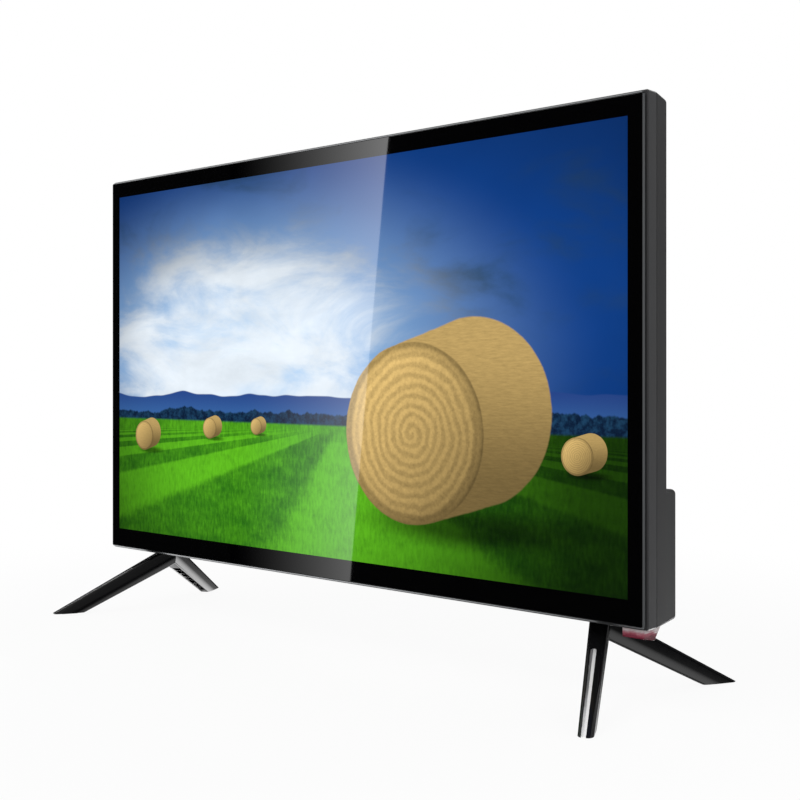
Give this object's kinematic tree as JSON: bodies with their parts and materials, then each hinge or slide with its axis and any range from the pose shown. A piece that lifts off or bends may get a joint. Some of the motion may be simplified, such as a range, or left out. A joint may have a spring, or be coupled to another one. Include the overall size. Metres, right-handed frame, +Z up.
{
  "type": "flat screen television",
  "caption": "Slim flat screen television with a flush glass front, a stepped rear cover and a hollow V-shaped stand under each end.",
  "frame": {"origin": "on the floor, midway between the stands and midway between their front and rear feet", "axes": "+X to the right of a person who watches the picture, +Y to the back, +Z up"},
  "size_m": [0.5476, 0.1802, 0.3773],
  "materials": {
    "black_glass": "flat gloss sheet, clear over the picture, black on its border",
    "trim_grey": "satin metallic grey",
    "side_frame_plastic": "dark grey gloss",
    "cover_plastic": "fine matt texture",
    "lens_red": "tinted clear",
    "stand_black": "polished black",
    "pad_rubber": "matt",
    "panel_glass": "polarised",
    "panel_plastic": "white moulding",
    "film_clear": "clear sheet",
    "film_white": "white sheet",
    "pan_steel": "zinc plated",
    "screw_steel": "plated",
    "screw_black": "black oxide",
    "board_green": "solder mask",
    "board_brown": "bare laminate",
    "flex_amber": "film",
    "sink_aluminium": "extruded",
    "socket_metal": "plated shell",
    "socket_black": "moulded",
    "socket_blue": "moulded",
    "phono_plastic": "moulded",
    "transformer_yellow": "taped",
    "capacitor_black": "sleeve",
    "speaker_black": "paper cone in a moulded basket",
    "lead_white": "insulation",
    "lead_black": "insulation",
    "key_black": "satin"
  },
  "bodies": {
    "cabinet": {"front_glass": "black_glass", "trim_ring": "trim_grey", "side_frame": "side_frame_plastic", "rear_cover": "cover_plastic", "ir_lens": "lens_red", "right_stand": "stand_black", "left_stand": "stand_black", "foot_pads": "pad_rubber", "lcd_cell": "panel_glass", "mould_frame": "panel_plastic", "prism_sheet": "film_clear", "diffuser_sheet": "film_white", "light_guide": "film_clear", "reflector_sheet": "film_white", "led_bar": "sink_aluminium", "back_pan": "pan_steel", "vesa_posts": "screw_steel", "panel_screws": "screw_steel", "board_screws": "screw_steel", "cover_screws": "screw_black", "stand_screws": "screw_black", "source_board": "board_green", "cell_flexes": "flex_amber", "panel_ribbon": "flex_amber", "main_board": "board_green", "heat_sink": "sink_aluminium", "antenna_socket": "socket_metal", "phono_sockets": "phono_plastic", "headphone_socket": "socket_black", "vga_socket": "socket_blue", "hdmi_socket": "socket_metal", "usb_socket": "socket_metal", "power_board": "board_brown", "transformer": "transformer_yellow", "capacitors": "capacitor_black", "power_sink": "sink_aluminium", "mains_inlet": "socket_black", "left_speaker": "speaker_black", "right_speaker": "speaker_black", "ir_board": "board_green", "key_board": "board_green", "power_lead": "lead_white", "left_speaker_lead": "lead_black", "right_speaker_lead": "lead_black", "key_lead": "lead_white", "ir_lead": "lead_white"},
    "body_key_power": {"key_power": "key_black"},
    "body_key_source": {"key_source": "key_black"},
    "body_key_menu": {"key_menu": "key_black"},
    "body_key_channel_up": {"key_channel_up": "key_black"},
    "body_key_channel_down": {"key_channel_down": "key_black"},
    "body_key_volume_up": {"key_volume_up": "key_black"},
    "body_key_volume_down": {"key_volume_down": "key_black"}
  },
  "joints": [
    {"name": "press_power", "type": "slide", "parent": "cabinet", "child": "body_key_power", "axis": [0, -1, 0], "range_m": [0, 0.0008], "stiffness_N_per_m": 500, "springref_m": -0.0004},
    {"name": "press_source", "type": "slide", "parent": "cabinet", "child": "body_key_source", "axis": [0, -1, 0], "range_m": [0, 0.0008], "stiffness_N_per_m": 500, "springref_m": -0.0004},
    {"name": "press_menu", "type": "slide", "parent": "cabinet", "child": "body_key_menu", "axis": [0, -1, 0], "range_m": [0, 0.0008], "stiffness_N_per_m": 500, "springref_m": -0.0004},
    {"name": "press_channel_up", "type": "slide", "parent": "cabinet", "child": "body_key_channel_up", "axis": [0, -1, 0], "range_m": [0, 0.0008], "stiffness_N_per_m": 500, "springref_m": -0.0004},
    {"name": "press_channel_down", "type": "slide", "parent": "cabinet", "child": "body_key_channel_down", "axis": [0, -1, 0], "range_m": [0, 0.0008], "stiffness_N_per_m": 500, "springref_m": -0.0004},
    {"name": "press_volume_up", "type": "slide", "parent": "cabinet", "child": "body_key_volume_up", "axis": [0, -1, 0], "range_m": [0, 0.0008], "stiffness_N_per_m": 500, "springref_m": -0.0004},
    {"name": "press_volume_down", "type": "slide", "parent": "cabinet", "child": "body_key_volume_down", "axis": [0, -1, 0], "range_m": [0, 0.0008], "stiffness_N_per_m": 500, "springref_m": -0.0004}
  ]
}
